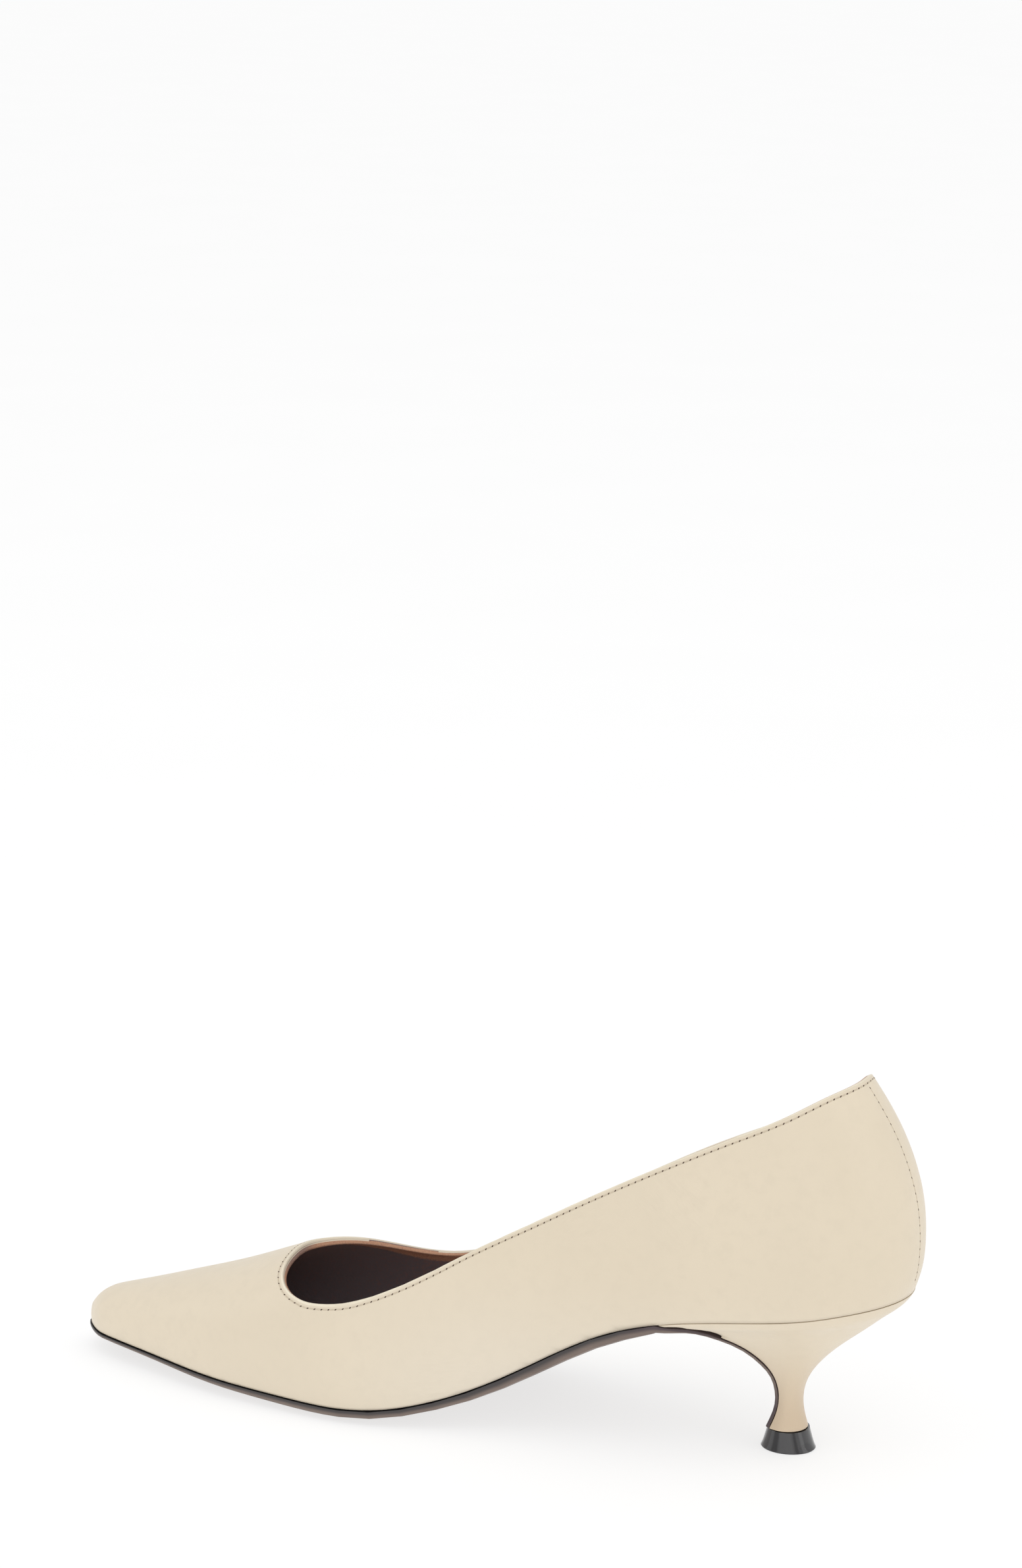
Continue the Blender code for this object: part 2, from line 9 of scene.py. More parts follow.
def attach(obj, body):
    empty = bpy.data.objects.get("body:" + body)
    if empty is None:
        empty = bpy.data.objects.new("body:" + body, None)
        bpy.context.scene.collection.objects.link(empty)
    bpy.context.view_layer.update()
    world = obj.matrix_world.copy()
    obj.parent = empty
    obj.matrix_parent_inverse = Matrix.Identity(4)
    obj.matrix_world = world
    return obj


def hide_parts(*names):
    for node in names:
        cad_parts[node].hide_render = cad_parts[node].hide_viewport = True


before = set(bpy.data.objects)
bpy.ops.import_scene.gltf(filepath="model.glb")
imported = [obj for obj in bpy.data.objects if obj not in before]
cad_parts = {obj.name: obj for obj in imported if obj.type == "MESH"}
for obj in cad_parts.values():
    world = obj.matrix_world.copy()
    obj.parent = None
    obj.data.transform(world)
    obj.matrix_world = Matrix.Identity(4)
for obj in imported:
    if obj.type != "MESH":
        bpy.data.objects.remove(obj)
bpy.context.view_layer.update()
mm = 0.001
scene = bpy.context.scene
scene.view_settings.view_transform = "Standard"


# Camera, as the photograph was taken
view = {
    "place": (0.41918, -1.05919, 0.46165),
    "turn": (76.4616, -0.2282, 21.3920),   # degrees
    "lens": 93.973,
    "farthest": 50,
}
cameraData = bpy.data.cameras.new("camera")
cameraData.lens = view["lens"]
cameraData.clip_end = view["farthest"]
camera = bpy.data.objects.new("camera", cameraData)
camera.location = view["place"]
camera.rotation_euler = [math.radians(angle) for angle in view["turn"]]
scene.collection.objects.link(camera)
scene.camera = camera


# Small helpers
copying = {
    "merge": 1e-6,
    "bend": 30,   # degrees between two triangles that become a quad
    "skew": 60,   # degrees
}


def pick(*pieces):
    if bpy.context.mode != "OBJECT":
        bpy.ops.object.mode_set(mode="OBJECT")
    bpy.ops.object.select_all(action="DESELECT")
    for piece in pieces:
        piece.select_set(True)
    bpy.context.view_layer.objects.active = pieces[0]


# A merged copy of a solid, with its facets joined into quads
def copyOf(node, name):
    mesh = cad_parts[node].data.copy()
    mesh.name = name
    if mesh.attributes.get("custom_normal"):
        mesh.attributes.remove(mesh.attributes["custom_normal"])
    mesh.materials.clear()
    piece = bpy.data.objects.new(name, mesh)
    scene.collection.objects.link(piece)
    work = bmesh.new()
    work.from_mesh(mesh)
    bmesh.ops.remove_doubles(work, verts=work.verts, dist=copying["merge"])
    for edge in work.edges:
        edge.smooth = True
    bmesh.ops.join_triangles(work, faces=work.faces,
                             angle_face_threshold=math.radians(copying["bend"]),
                             angle_shape_threshold=math.radians(copying["skew"]))
    work.to_mesh(mesh)
    work.free()
    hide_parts(node)
    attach(piece, "root")
    return piece


def addModifier(piece, kind, **values):
    pick(piece)
    modifier = piece.modifiers.new(kind.lower(), kind)
    for key, value in values.items():
        setattr(modifier, key, value)
    bpy.ops.object.modifier_apply(modifier=modifier.name)


def bevelled(piece, width, segments, angle):
    addModifier(piece, "BEVEL", width=width, segments=segments, limit_method="ANGLE",
                angle_limit=math.radians(angle))


def scaled(colour, share):
    return tuple(part * share for part in colour)


# Shader helpers
def newMaterial(name, sockets):
    material = bpy.data.materials.new(name)
    material.use_nodes = True
    shader = material.node_tree.nodes["Principled BSDF"]
    for key, value in sockets.items():
        shader.inputs[key].default_value = value
    return material, material.node_tree, shader


def addNode(tree, kind, **values):
    made = tree.nodes.new(kind)
    for key, value in values.items():
        if hasattr(made, key):
            setattr(made, key, value)
        else:
            made.inputs[key].default_value = value
    return made


def feed(tree, value, socket):
    if isinstance(value, bpy.types.NodeSocket):
        tree.links.new(value, socket)
    elif isinstance(value, tuple):
        socket.default_value = (*value, 1)
    else:
        socket.default_value = value


def objectPlace(tree):
    return addNode(tree, "ShaderNodeTexCoord").outputs["Object"]


def partsOf(tree, vector):
    made = addNode(tree, "ShaderNodeSeparateXYZ")
    tree.links.new(vector, made.inputs[0])
    return made.outputs


def noise(tree, scale, detail=3.0, roughness=0.5, stretch=None):
    place = objectPlace(tree)
    if stretch:
        mapping = addNode(tree, "ShaderNodeMapping", Scale=stretch)
        tree.links.new(place, mapping.inputs["Vector"])
        place = mapping.outputs["Vector"]
    made = addNode(tree, "ShaderNodeTexNoise", Detail=detail, Roughness=roughness)
    feed(tree, scale, made.inputs["Scale"])
    tree.links.new(place, made.inputs["Vector"])
    return made.outputs["Fac"]


def ranged(tree, value, low, high, toLow=0.0, toHigh=1.0):
    made = addNode(tree, "ShaderNodeMapRange", interpolation_type="SMOOTHSTEP")
    numbers = {"From Min": low, "From Max": high, "To Min": toLow, "To Max": toHigh}
    for key, number in numbers.items():
        made.inputs[key].default_value = number
    tree.links.new(value, made.inputs["Value"])
    return made.outputs["Result"]


def mixed(tree, share, first, second):
    made = addNode(tree, "ShaderNodeMix", data_type="RGBA")
    for slot, value in ((0, share), (6, first), (7, second)):
        feed(tree, value, made.inputs[slot])
    return made.outputs[2]


def maths(tree, kind, first, second=0.0):
    made = addNode(tree, "ShaderNodeMath", operation=kind)
    feed(tree, first, made.inputs[0])
    feed(tree, second, made.inputs[1])
    return made.outputs[0]


def bumped(tree, height, distance, strength=1.0, before=None):
    made = addNode(tree, "ShaderNodeBump", Strength=strength, Distance=distance)
    tree.links.new(height, made.inputs["Height"])
    if before:
        tree.links.new(before, made.inputs["Normal"])
    return made.outputs["Normal"]


def attribute(tree, name):
    return addNode(tree, "ShaderNodeAttribute", attribute_name=name).outputs["Fac"]


def newGroup(name, inputs, outputs):
    tree = bpy.data.node_groups.new(name, "ShaderNodeTree")
    for way, sockets in (("INPUT", inputs), ("OUTPUT", outputs)):
        for label, kind in sockets.items():
            tree.interface.new_socket(label, in_out=way, socket_type="NodeSocket" + kind)
    given = tree.nodes.new("NodeGroupInput").outputs
    wanted = tree.nodes.new("NodeGroupOutput").inputs
    return tree, given, wanted


def useGroup(tree, group, values):
    made = addNode(tree, "ShaderNodeGroup", node_tree=group)
    for key, value in values.items():
        feed(tree, value, made.inputs[key])
    return made.outputs


# Leather of upper and heel
leather = {
    "cream": (0.757, 0.660, 0.511),
    # painted light: a lighter cream for the lower leather
    "paintedLowLight": (0.815, 0.745, 0.635),
    "tan": (0.655, 0.525, 0.380),
    # painted highlight along the folded topline edge
    "foldHighlight": (0.930, 0.860, 0.690),
    "light": 1.02,   # share of the cream
    "shade": 0.985,
    "thread": 0.55,   # share of the tan in the painted shade of the stitches' groove
    "surface": {"Specular IOR Level": 0.35, "Sheen Weight": 0.06, "Sheen Roughness": 0.5},
    "cloud": (22, 2),   # scale, detail and roughness of a noise
    "cloudSpread": (0.35, 0.65),
    "mottle": (260, 4, 0.6),
    "mottleSpread": (0.40, 0.75),
    "grain": 2600,
    "grainBump": (0.03 * mm, 0.35),   # depth and strength
    "soft": (420, 4, 0.6),
    "softBump": (0.10 * mm, 0.35),
    "wave": (60, 3),
    "waveBump": (0.5 * mm, 0.12),
    "rough": (0.3, 0.7, 0.37, 0.47),   # range of the soft noise, and the roughness at its ends
    "paintedLowLightUp": (0.006, 0.060),   # heights between which the painted light on the lower leather ends
    "paintedLowLightAlong": (-0.045, 0.02, 0.1, 0.6),   # from and to, and its share at each
    "creases": (   # centre, reach, length and spacing in metres, slope in degrees
        ((0.0370, -0.0270, 0.0715), 0.014, 0.012, 0.0028, -34),
        ((0.0670, -0.0280, 0.0810), 0.017, 0.012, 0.0032, 38),
        ((-0.0035, -0.0310, 0.0165), 0.016, 0.014, 0.0030, -12),
    ),
    "creaseCore": 0.3,   # share of the reach over which a crease is at its full depth
    "creaseBump": (0.8 * mm, 0.8),
    "foldHighlightFade": (0.15, 0.65, 0.7, 0),   # mm from the edge, and the share of the painted highlight's colour
    "stitchFromEdge": 1.35,   # mm
    "grooveWidth": 0.40,   # mm
    "grooveDepth": 0.13 * mm,
    "grooveShade": 0.06,
    "grooveShadeReach": 0.8,   # share of the groove's width that its painted shade covers
}

grainTree, given, wanted = newGroup(
    "leather_grain", {"Cream": "Color", "Light": "Color", "Shade": "Color"},
    {"Colour": "Color", "Roughness": "Float", "Normal": "Vector"})
cloud = ranged(grainTree, noise(grainTree, *leather["cloud"]), *leather["cloudSpread"])
clouded = mixed(grainTree, cloud, given["Cream"], given["Light"])
mottle = ranged(grainTree, noise(grainTree, *leather["mottle"]), *leather["mottleSpread"])
cells = addNode(grainTree, "ShaderNodeTexVoronoi", Scale=leather["grain"])
grainTree.links.new(objectPlace(grainTree), cells.inputs["Vector"])
pores = bumped(grainTree, cells.outputs["Distance"], *leather["grainBump"])
soft = noise(grainTree, *leather["soft"])
softened = bumped(grainTree, soft, *leather["softBump"], pores)
waved = bumped(grainTree, noise(grainTree, *leather["wave"]), *leather["waveBump"], softened)
feed(grainTree, mixed(grainTree, mottle, clouded, given["Shade"]), wanted["Colour"])
feed(grainTree, ranged(grainTree, soft, *leather["rough"]), wanted["Roughness"])
feed(grainTree, waved, wanted["Normal"])


# A ripple across a patch of the leather, which fades out at the patch's reach
def creased(tree, place, crease, normal):
    centre, reach, length, spacing, slope = crease
    offset = addNode(tree, "ShaderNodeVectorMath", operation="DISTANCE")
    tree.links.new(place, offset.inputs[0])
    offset.inputs[1].default_value = centre
    mapping = addNode(tree, "ShaderNodeMapping", vector_type="TEXTURE",
                      Rotation=(0, math.radians(slope), 0), Scale=(length, length, spacing))
    tree.links.new(place, mapping.inputs["Vector"])
    ripple = addNode(tree, "ShaderNodeTexNoise", Scale=1.0, Detail=2.0, Roughness=0.5)
    tree.links.new(mapping.outputs["Vector"], ripple.inputs["Vector"])
    within = ranged(tree, offset.outputs["Value"], reach * leather["creaseCore"], reach, 1, 0)
    height = maths(tree, "MULTIPLY", ripple.outputs["Fac"], within)
    return bumped(tree, height, *leather["creaseBump"], normal)


# Each seam is an attribute's name, the distance at which it runs and its strength
def leatherMaterial(name, seams, tanBelow=None):
    material, tree, shader = newMaterial(name, leather["surface"])
    cream = leather["cream"]
    grain = useGroup(tree, grainTree, {"Cream": cream, "Light": scaled(cream, leather["light"]),
                                       "Shade": scaled(cream, leather["shade"])})
    colour, normal = grain["Colour"], grain["Normal"]
    place = objectPlace(tree)
    along, _, up = partsOf(tree, place)
    if tanBelow:
        colour = mixed(tree, ranged(tree, up, *tanBelow, 1, 0), colour, leather["tan"])
    else:
        # painted light: the lower leather, more so towards the back, is mixed towards a lighter cream
        low = ranged(tree, up, *leather["paintedLowLightUp"], 1, 0)
        low = maths(tree, "MULTIPLY", low, ranged(tree, along, *leather["paintedLowLightAlong"]))
        colour = mixed(tree, low, colour, leather["paintedLowLight"])
    if seams:
        for crease in leather["creases"]:
            normal = creased(tree, place, crease, normal)
        # painted highlight: the leather turns a lighter cream near the topline's fold
        foldHighlight = ranged(tree, attribute(tree, "edgeDistance"), *leather["foldHighlightFade"])
        colour = mixed(tree, foldHighlight, colour, leather["foldHighlight"])
    width = leather["grooveWidth"]
    for field, distance, strength in seams:
        off = maths(tree, "SUBTRACT", attribute(tree, field), distance)
        away = maths(tree, "ABSOLUTE", off)
        trough = ranged(tree, away, 0, width)
        normal = bumped(tree, trough, leather["grooveDepth"], strength, normal)
        # painted shade in the stitches' groove: the leather darkens towards a dark tan along the seam
        grooveShadeStrength = leather["grooveShade"] * strength
        near = ranged(tree, away, 0, width * leather["grooveShadeReach"], grooveShadeStrength, 0)
        colour = mixed(tree, near, colour, scaled(leather["tan"], leather["thread"]))
    feed(tree, grain["Roughness"], shader.inputs["Roughness"])
    feed(tree, colour, shader.inputs["Base Color"])
    feed(tree, normal, shader.inputs["Normal"])
    return material


# Suede of lining and sock
suede = {
    "dark": (0.185, 0.160, 0.170),
    "brown": (0.350, 0.155, 0.110),
    "raw": (0.520, 0.300, 0.190),
    "surface": {"Roughness": 0.95, "Specular IOR Level": 0.12, "Sheen Weight": 0.25,
                "Sheen Roughness": 0.45, "Sheen Tint": (0.55, 0.33, 0.22, 1)},
    "nap": (4, 0.65),   # detail and roughness
    "fibres": (4, 0.7),
    "fibreBump": (0.25 * mm, 0.5),   # depth and strength
    "liningNap": {"Nap scale": 900, "Fibre scale": 1300},
    "sockNap": {"Nap scale": 800, "Fibre scale": 1200},
    "brownAlong": (-0.055, 0.045),   # the lining turns from dark to brown towards the back
    "liningSpread": (0.3, 0.75, -0.25, 0.25),
    "sockSpread": (0.35, 0.7),
    "rawOver": (1.20, 1.55),   # mm round the fold from the outer edge, where the raw edge begins
    "rawUnder": (2.6, 3.6),   # and where it ends
    "ragged": (1500, 3, 0.7),   # scale, detail and roughness of a noise
    "raggedDeep": 1.6,   # mm
    "strands": (2200, 3, 0.7),
    "strandSpread": (0.2, 0.6),
    "rawAlong": (-0.0595, -0.0570),
}

napTree, given, wanted = newGroup("suede_nap", {"Nap scale": "Float", "Fibre scale": "Float"},
                                  {"Nap": "Float", "Normal": "Vector"})
fibres = noise(napTree, given["Fibre scale"], *suede["fibres"])
feed(napTree, noise(napTree, given["Nap scale"], *suede["nap"]), wanted["Nap"])
feed(napTree, bumped(napTree, fibres, *suede["fibreBump"]), wanted["Normal"])


# The lining's raw edge lies below the fold, with a ragged lower border
def liningMaterial():
    material, tree, shader = newMaterial("lining_suede", suede["surface"])
    nap = useGroup(tree, napTree, suede["liningNap"])
    along = partsOf(tree, objectPlace(tree))["X"]
    shift = ranged(tree, nap["Nap"], *suede["liningSpread"])
    backward = ranged(tree, along, *suede["brownAlong"])
    colour = mixed(tree, maths(tree, "ADD", backward, shift), suede["dark"], suede["brown"])
    edge = attribute(tree, "edgeDistance")
    ragged = maths(tree, "SUBTRACT", noise(tree, *suede["ragged"]), 0.5)
    wavy = maths(tree, "ADD", edge, maths(tree, "MULTIPLY", ragged, suede["raggedDeep"]))
    over = ranged(tree, edge, *suede["rawOver"])
    under = ranged(tree, wavy, *suede["rawUnder"], 1, 0)
    raw = maths(tree, "MULTIPLY", over, under)
    raw = maths(tree, "MULTIPLY", raw, ranged(tree, along, *suede["rawAlong"]))
    strands = ranged(tree, noise(tree, *suede["strands"]), *suede["strandSpread"])
    colour = mixed(tree, raw, colour, mixed(tree, strands, suede["brown"], suede["raw"]))
    feed(tree, colour, shader.inputs["Base Color"])
    feed(tree, nap["Normal"], shader.inputs["Normal"])
    return material


# Upper: outer leather, folded topline edge and suede lining on one merged copy
upperShape = {
    "splitAngle": 36,   # degrees between faces of different sides
    "foldShare": 0.5,   # how far over the rim the leather is folded, between two rows of faces
    "liningDrop": 0.9 * mm,
    "bottomCrease": 1.0,
    "liningCrease": 0.6,
    "foldCrease": 0.55,
    "levels": 2,
    "curveSteps": 12,   # between two points of a border
    "finderStep": 0.4 * mm,
    "backSeam": -0.0046,   # the row of stitches runs just beside the middle of the back
    "backFrom": 0.0995,
    "farAway": 40.0,   # mm, where the back's seam is out of reach
}
outside, lining, rim, bottom = range(4)   # values of the side attribute

upper = copyOf("upper", "upper_leather")
work = bmesh.new()
work.from_mesh(upper.data)
side = work.faces.layers.int.new("side")
creaseLayer = work.edges.layers.float.new("crease_edge")
work.faces.ensure_lookup_table()


def regionsOf(faces, limit):
    regions, seen = [], set()
    for start in faces:
        if start.index in seen:
            continue
        region, queue = [], [start]
        seen.add(start.index)
        while queue:
            face = queue.pop()
            region.append(face)
            for edge in face.edges:
                if len(edge.link_faces) != 2 or edge.calc_face_angle(0) > limit:
                    continue
                for other in edge.link_faces:
                    if other.index not in seen:
                        seen.add(other.index)
                        queue.append(other)
        regions.append(region)
    return regions


def areaOf(region):
    return sum(face.calc_area() for face in region)


def sidesAt(edge):
    return {face[side] for face in edge.link_faces}


def borderOf(first, second):
    return [edge for edge in work.edges
            if len(edge.link_faces) == 2 and sidesAt(edge) == {first, second}]


regions = regionsOf(work.faces, math.radians(upperShape["splitAngle"]))
regions.sort(key=areaOf, reverse=True)
for face in work.faces:
    face[side] = -1
bySize = (outside, lining, bottom, rim)
for kind, region in zip(bySize, regions):
    for face in region:
        face[side] = kind
for region in regions[len(bySize):]:
    for face in region:
        around = [other[side] for edge in face.edges for other in edge.link_faces
                  if other[side] >= 0]
        face[side] = max(set(around), key=around.count) if around else outside
for edge in work.edges:
    kinds = sidesAt(edge)
    if bottom in kinds and len(kinds) == 2:
        edge[creaseLayer] = upperShape["bottomCrease"]
    elif kinds == {lining, rim}:
        edge[creaseLayer] = upperShape["liningCrease"]
    elif kinds == {outside, rim}:
        edge[creaseLayer] = upperShape["foldCrease"]
toplineEdges, liningEdges = borderOf(outside, rim), borderOf(lining, rim)
for vertex in {vertex for edge in liningEdges for vertex in edge.verts}:
    vertex.co.z -= upperShape["liningDrop"]
work.to_mesh(upper.data)


# Points round a closed run of edges
def orderedLoop(edges):
    links = {}
    for edge in edges:
        a, b = edge.verts
        links.setdefault(a, []).append(b)
        links.setdefault(b, []).append(a)
    start = max(links, key=lambda vertex: vertex.co.x)
    loop, last, here = [start], None, start
    while True:
        following = [v for v in links[here] if v is not last]
        last, here = here, following[0]
        if here is start or len(loop) > len(links):
            break
        loop.append(here)
    return [vertex.co.copy() for vertex in loop]


topline, innerLine = orderedLoop(toplineEdges), orderedLoop(liningEdges)
print("topline points", len(topline), "lining", len(innerLine))
work.free()


# Points at even distances along a smooth curve through the given ones
def resampled(points, step, closed=True):
    dense = []
    count = len(points)
    steps = upperShape["curveSteps"]
    for i in range(count if closed else count - 1):
        a = points[(i - 1) % count] if closed or i > 0 else points[0]
        b, c = points[i], points[(i + 1) % count]
        d = points[(i + 2) % count] if closed or i + 2 < count else points[-1]
        for k in range(steps):
            t = k / steps
            dense.append(0.5 * (2 * b + (c - a) * t + (2 * a - 5 * b + 4 * c - d) * t * t
                                + (3 * b - a - 3 * c + d) * t ** 3))
    dense.append(points[0].copy() if closed else points[-1].copy())
    spans = list(zip(dense, dense[1:]))
    total = sum((after - before).length for before, after in spans)
    pieces = max(2, round(total / step))
    found, walked, target = [], 0.0, 0.0
    for before, after in spans:
        length = (after - before).length
        while walked + length >= target and len(found) < pieces:
            share = (target - walked) / length if length else 0
            found.append(before.lerp(after, share))
            target += total / pieces
        walked += length
    return found


def finderOf(points):
    curve = resampled(points, upperShape["finderStep"])
    found = KDTree(len(curve))
    for i, point in enumerate(curve):
        found.insert(point, i)
    found.balance()
    return found


addModifier(upper, "SUBSURF", levels=upperShape["levels"], render_levels=upperShape["levels"],
            boundary_smooth="PRESERVE_CORNERS")
outerEdge, innerEdge = finderOf(topline), finderOf(innerLine)
upper.data.attributes.new("edgeDistance", "FLOAT", "POINT")
upper.data.attributes.new("backDistance", "FLOAT", "POINT")
edgeValues, backValues = [], []
for vertex in upper.data.vertices:
    edgeValues.append(outerEdge.find(vertex.co)[2] / mm)
    beside = abs(vertex.co.y - upperShape["backSeam"]) / mm
    behind = vertex.co.x > upperShape["backFrom"]
    backValues.append(beside if behind else upperShape["farAway"])
upper.data.attributes["edgeDistance"].data.foreach_set("value", edgeValues)
upper.data.attributes["backDistance"].data.foreach_set("value", backValues)

seams = [("edgeDistance", leather["stitchFromEdge"], 1.0), ("backDistance", 0.0, 0.5)]
upper.data.materials.append(leatherMaterial("upper_leather", seams))
upper.data.materials.append(liningMaterial())
sides = [0] * len(upper.data.polygons)
upper.data.attributes["side"].data.foreach_get("value", sides)
for polygon, kind in zip(upper.data.polygons, sides):
    over, under = outerEdge.find(polygon.center)[2], innerEdge.find(polygon.center)[2]
    pastFold = kind == rim and over > upperShape["foldShare"] * (over + under)
    polygon.material_index = 1 if kind == lining or pastFold else 0
upper.data.shade_smooth()
print("upper done", len(upper.data.polygons))


# Stitches along the topline and down the back
stitch = {
    "pitch": 2.28 * mm,
    "backPitch": 2.3 * mm,
    "backTop": 0.1115,
    "backEnd": 0.0535,
    "backStep": 0.25 * mm,
    "backEvery": 6,   # of the points found down the back, one in so many is kept
    "slant": 22,   # degrees
    "around": 8,
    "rings": 4,
    "hole": (0.18 * mm, 0.06 * mm, 0.38 * mm),   # half width, height and length
    "holeOut": 0.01 * mm,
    "thread": (0.15 * mm, 0.12 * mm, 1.0),   # half width and height; its length is its own
    "threadIn": 0.03 * mm,
    "threadShort": 0.209 * mm,   # how far each end stays away from the hole's middle
    "longest": 1.8,   # pitches; a wider gap has no thread
    "threadSurface": {"Roughness": 0.6, "Base Color": (0.66, 0.56, 0.42, 1)},
    "twist": {"Scale": 900.0, "Distortion": 1.0},
    "twistBump": (0.05 * mm, 0.4),   # depth and strength
    "holeSurface": {"Roughness": 0.9},
    "holeNoise": (700, 2),
    # painted shade of the needle holes
    "holeShades": ((0.045, 0.024, 0.016), (0.12, 0.070, 0.045)),
}
work = bmesh.new()
work.from_mesh(upper.data)
sideLayer = work.faces.layers.int["side"]
others = [face for face in work.faces if face[sideLayer] != outside]
bmesh.ops.delete(work, geom=others, context="FACES")
outerTree = BVHTree.FromBMesh(work)
work.free()

threadMaterial, tree, shader = newMaterial("thread", stitch["threadSurface"])
twist = addNode(tree, "ShaderNodeTexWave", **stitch["twist"]).outputs["Fac"]
feed(tree, bumped(tree, twist, *stitch["twistBump"]), shader.inputs["Normal"])
holeMaterial, tree, shader = newMaterial("needle_hole", stitch["holeSurface"])
# the needle holes are dark marks of painted shade
holeShade = mixed(tree, noise(tree, *stitch["holeNoise"]), *stitch["holeShades"])
feed(tree, holeShade, shader.inputs["Base Color"])


def stitchForm(material, sizes):
    bpy.ops.mesh.primitive_uv_sphere_add(segments=stitch["around"], ring_count=stitch["rings"],
                                         radius=1, calc_uvs=False)
    form = bpy.context.object
    bpy.ops.object.mode_set(mode="EDIT")
    bpy.ops.mesh.select_all(action="SELECT")
    bpy.ops.transform.resize(value=sizes)
    bpy.ops.object.mode_set(mode="OBJECT")
    form.data.shade_smooth()
    form.data.materials.append(material)
    return form


def laid(form, place, along, normal, length=1.0):
    across = normal.cross(along).normalized()
    turned = Matrix((across, normal, along * length)).transposed().to_4x4()
    copy = form.copy()
    copy.data = form.data.copy()
    copy.data.transform(Matrix.Translation(place) @ turned)
    scene.collection.objects.link(copy)
    return copy


def joined(name, copies):
    pick(*copies)
    bpy.ops.object.join()
    piece = bpy.context.object
    piece.name = name
    piece.data.name = name
    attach(piece, "root")


def onSurface(point):
    place, normal, _, _ = outerTree.find_nearest(point)
    return place, normal


# Each point moved down the outer wall by an offset, with its along and outward directions
def seamPath(points, offset):
    found = []
    count = len(points)
    for i, point in enumerate(points):
        run = (points[(i + 1) % count] - points[(i - 1) % count]).normalized()
        down = run.cross(onSurface(point)[1]).normalized()
        ends = [onSurface(point + way * offset) for way in (down, -down)]
        place, normal = max(ends, key=lambda end: (end[0] - point).length)
        found.append((place, run, normal))
    return found


def sewSeam(name, path, pitch, slant):
    threads, holes = [], []
    for i, (place, _, _) in enumerate(path):
        after = path[(i + 1) % len(path)][0]
        span = after - place
        if span.length > pitch * stitch["longest"]:
            continue
        middle, normal = onSurface((place + after) / 2)
        length = span.length / 2 - stitch["threadShort"]
        threads.append(laid(threadForm, middle - normal * stitch["threadIn"],
                            span.normalized(), normal, length))
    turn = math.radians(slant)
    for place, run, normal in path:
        across = normal.cross(run).normalized()
        lean = (run * math.cos(turn) + across * math.sin(turn)).normalized()
        holes.append(laid(holeForm, place + normal * stitch["holeOut"], lean, normal))
    joined(name + "_thread", threads)
    joined(name + "_holes", holes)


holeForm = stitchForm(holeMaterial, stitch["hole"])
threadForm = stitchForm(threadMaterial, stitch["thread"])
toplinePath = seamPath(resampled(topline, stitch["pitch"]), leather["stitchFromEdge"] * mm)
sewSeam("topline_stitch", toplinePath, stitch["pitch"], stitch["slant"])
backLine = []
height = stitch["backTop"]
while height >= stitch["backEnd"]:
    behind = Vector((0.2, upperShape["backSeam"], height))
    hit = outerTree.ray_cast(behind, Vector((-1, 0, 0)))[0]
    if hit is not None:
        backLine.append(hit)
    height -= stitch["backStep"]
backPoints = resampled(backLine[::stitch["backEvery"]], stitch["backPitch"], False)
backPath = []
for i, point in enumerate(backPoints):
    place, normal = onSurface(point)
    following = backPoints[min(i + 1, len(backPoints) - 1)]
    backPath.append((place, (following - backPoints[max(i - 1, 0)]).normalized(), normal))
sewSeam("back_stitch", backPath, stitch["backPitch"], 0)
for form in (holeForm, threadForm):
    bpy.data.objects.remove(form)
print("stitches", len(toplinePath), len(backPath))


# Insole sock
sock = {
    "bevel": 0.5 * mm,
    "bevelAngle": 50,   # degrees
}
insole = copyOf("insole", "insole_sock")
bevelled(insole, sock["bevel"], 2, sock["bevelAngle"])
insole.data.shade_smooth()
insole.data.set_sharp_from_angle(angle=math.radians(sock["bevelAngle"]))
sockMaterial, tree, shader = newMaterial("sock_suede", suede["surface"])
nap = useGroup(tree, napTree, suede["sockNap"])
sockColour = mixed(tree, ranged(tree, nap["Nap"], *suede["sockSpread"]), suede["dark"], suede["brown"])
feed(tree, sockColour, shader.inputs["Base Color"])
feed(tree, nap["Normal"], shader.inputs["Normal"])
insole.data.materials.append(sockMaterial)
print("insole done")


# Outsole: painted edge and brown underside
soleLook = {
    "edge": (0.052, 0.045, 0.045),
    # painted light: the lighter brown of the sole's edge towards the heel
    "flap": (0.080, 0.056, 0.060),
    "line": (0.010, 0.010, 0.012),
    "under": (0.205, 0.155, 0.130),
    "streak": 0.8,   # share of the underside's colour
    "streaks": (160, 4, 0.6, (0.25, 1, 1)),   # scale, detail, roughness and stretch of a noise
    "streakSpread": (0.3, 0.7),
    "uneven": (500, 3, 0.6),
    "unevenBump": (0.08 * mm, 0.4),   # depth and strength
    "surface": {"Roughness": 0.4, "Specular IOR Level": 0.45},
    "bevel": 0.30 * mm,
    "bevelAngle": 40,   # degrees
    "sharpAngle": 60,
    "underFacing": (-0.32, 0.02),   # upward part of the normal where the underside ends
    "lineFacing": (0.05, 0.45),
    "flapAlong": (0.046, 0.060),   # where the edge's colour turns into the flap's lighter brown, painted light that leaves the toe end darker
    "flapFrom": 0.063,   # where the flap begins to be wider, fully so after flapEase
    "flapEase": 0.006,
    "flapMiddle": -0.0020,
    "flapCore": 0.003,   # nearer than this to the middle it moves less
    "flapWider": ((40.5, 0.0), (39, 0.7), (36, 1.9), (33, 2.1), (30, 2.2), (27, 2.2),
                  (24, 1.9), (18, 1.4), (12, 0.4), (7, 0.0)),   # height and move outward, mm
}
outsole = copyOf("outsole", "outsole_leather")
levels = soleLook["flapWider"]
